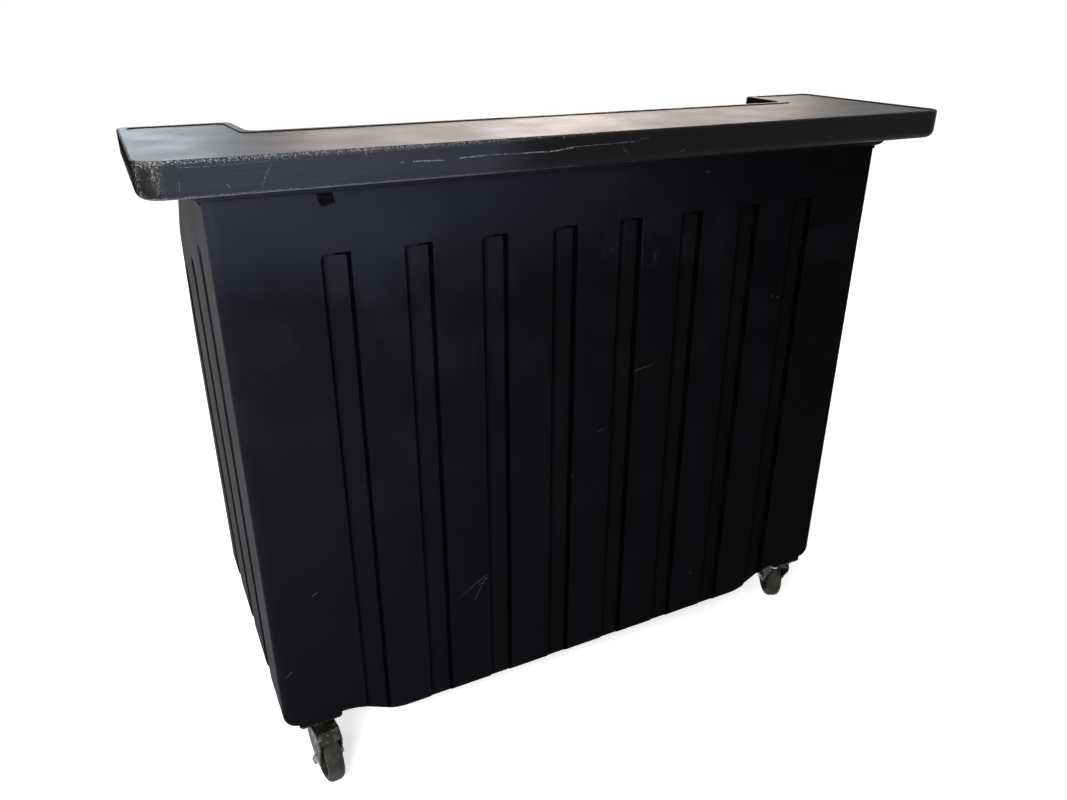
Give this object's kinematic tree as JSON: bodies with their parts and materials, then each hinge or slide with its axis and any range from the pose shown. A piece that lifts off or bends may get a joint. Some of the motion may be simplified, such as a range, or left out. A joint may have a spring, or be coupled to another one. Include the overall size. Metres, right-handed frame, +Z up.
{
  "type": "portable bar",
  "caption": "Wheeled portable bar: fluted moulded body, U-shaped counter, work deck with covered ice bin, lift-out bottle wells, cabinet shelf and swivel casters.",
  "frame": {"origin": "on the floor under the middle of the bar's length and depth", "axes": "+X to the right of someone who faces the fluted front, +Y from the fluted front to the open back, +Z up"},
  "size_m": [1.404, 0.6599, 1.16],
  "materials": {
    "body_plastic": "fine-grained, slightly glossy, scuffed",
    "counter_plastic": "satin, scuffed along the front",
    "deck_plastic": "satin",
    "zinc_steel": "zinc plated, with rust spots",
    "brass": "turned",
    "seal_rubber": "matt",
    "lever_paint": "painted",
    "wheel_plastic": "moulded",
    "tyre_rubber": "worn grey rubber"
  },
  "bodies": {
    "bar": {"body_shell": "body_plastic", "countertop": "counter_plastic", "counter_angles": "zinc_steel", "angle_screws": "zinc_steel", "work_deck": "deck_plastic", "deck_screws": "zinc_steel", "ice_bin": "deck_plastic", "drain_flange": "brass", "drain_gasket": "seal_rubber", "drain_nut": "brass", "drain_valve": "brass", "shelf": "deck_plastic", "shelf_clips": "zinc_steel", "caster_inserts": "brass", "caster_bolts": "zinc_steel", "front_left_caster_plate": "zinc_steel", "front_left_king_bolt": "zinc_steel", "front_right_caster_plate": "zinc_steel", "front_right_king_bolt": "zinc_steel", "rear_left_caster_plate": "zinc_steel", "rear_left_king_bolt": "zinc_steel", "rear_right_caster_plate": "zinc_steel", "rear_right_king_bolt": "zinc_steel"},
    "bin_cover": {"ice_bin_cover": "deck_plastic"},
    "left_well": {"left_bottle_well": "deck_plastic"},
    "right_well": {"right_bottle_well": "deck_plastic"},
    "drain_lever": {"valve_ball": "brass", "drain_lever": "lever_paint"},
    "front_left_swivel": {"front_left_swivel_bearing": "zinc_steel", "front_left_fork": "zinc_steel", "front_left_axle": "zinc_steel", "front_left_bush": "zinc_steel"},
    "front_left_wheel": {"front_left_wheel": "wheel_plastic", "front_left_tyre": "tyre_rubber"},
    "front_right_swivel": {"front_right_swivel_bearing": "zinc_steel", "front_right_fork": "zinc_steel", "front_right_axle": "zinc_steel", "front_right_bush": "zinc_steel"},
    "front_right_wheel": {"front_right_wheel": "wheel_plastic", "front_right_tyre": "tyre_rubber"},
    "rear_left_swivel": {"rear_left_swivel_bearing": "zinc_steel", "rear_left_fork": "zinc_steel", "rear_left_axle": "zinc_steel", "rear_left_bush": "zinc_steel", "rear_left_pedal_pin": "zinc_steel"},
    "rear_left_wheel": {"rear_left_wheel": "wheel_plastic", "rear_left_tyre": "tyre_rubber"},
    "rear_left_brake": {"rear_left_brake_pedal": "zinc_steel"},
    "rear_right_swivel": {"rear_right_swivel_bearing": "zinc_steel", "rear_right_fork": "zinc_steel", "rear_right_axle": "zinc_steel", "rear_right_bush": "zinc_steel", "rear_right_pedal_pin": "zinc_steel"},
    "rear_right_wheel": {"rear_right_wheel": "wheel_plastic", "rear_right_tyre": "tyre_rubber"},
    "rear_right_brake": {"rear_right_brake_pedal": "zinc_steel"}
  },
  "joints": [
    {"name": "bin_cover_lift", "type": "slide", "parent": "bar", "child": "bin_cover", "axis": [0, 0, 1], "range_m": [0, 0.2]},
    {"name": "left_well_lift", "type": "slide", "parent": "bar", "child": "left_well", "axis": [0, 0, 1], "range_m": [0, 0.2]},
    {"name": "right_well_lift", "type": "slide", "parent": "bar", "child": "right_well", "axis": [0, 0, 1], "range_m": [0, 0.2]},
    {"name": "drain_lever_turn", "type": "hinge", "parent": "bar", "child": "drain_lever", "pos_m": [0, 0.067, 0.495], "axis": [0, 1, 0], "range_deg": [0, 90]},
    {"name": "front_left_swivel_turn", "type": "hinge", "parent": "bar", "child": "front_left_swivel", "pos_m": [-0.557, -0.222, 0.117], "axis": [0, 0, 1], "continuous": true},
    {"name": "front_left_wheel_spin", "type": "hinge", "parent": "front_left_swivel", "child": "front_left_wheel", "pos_m": [-0.55316, -0.25679, 0.0508], "axis": [-0.994, -0.1097, 0], "continuous": true},
    {"name": "front_right_swivel_turn", "type": "hinge", "parent": "bar", "child": "front_right_swivel", "pos_m": [0.557, -0.222, 0.117], "axis": [0, 0, 1], "continuous": true},
    {"name": "front_right_wheel_spin", "type": "hinge", "parent": "front_right_swivel", "child": "front_right_wheel", "pos_m": [0.57201, -0.19038, 0.0508], "axis": [0.9033, -0.4289, 0], "continuous": true},
    {"name": "rear_left_swivel_turn", "type": "hinge", "parent": "bar", "child": "rear_left_swivel", "pos_m": [-0.557, 0.264, 0.117], "axis": [0, 0, 1], "continuous": true},
    {"name": "rear_left_wheel_spin", "type": "hinge", "parent": "rear_left_swivel", "child": "rear_left_wheel", "pos_m": [-0.54221, 0.23228, 0.0508], "axis": [-0.9063, -0.4226, 0], "continuous": true},
    {"name": "rear_left_brake_press", "type": "hinge", "parent": "rear_left_swivel", "child": "rear_left_brake", "pos_m": [-0.53756, 0.22231, 0.108], "axis": [0.9063, 0.4226, 0], "range_deg": [0, 8]},
    {"name": "rear_right_swivel_turn", "type": "hinge", "parent": "bar", "child": "rear_right_swivel", "pos_m": [0.557, 0.264, 0.117], "axis": [0, 0, 1], "continuous": true},
    {"name": "rear_right_wheel_spin", "type": "hinge", "parent": "rear_right_swivel", "child": "rear_right_wheel", "pos_m": [0.54503, 0.23111, 0.0508], "axis": [-0.9397, 0.342, 0], "continuous": true},
    {"name": "rear_right_brake_press", "type": "hinge", "parent": "rear_right_swivel", "child": "rear_right_brake", "pos_m": [0.54127, 0.22077, 0.108], "axis": [0.9397, -0.342, 0], "range_deg": [0, 8]}
  ]
}
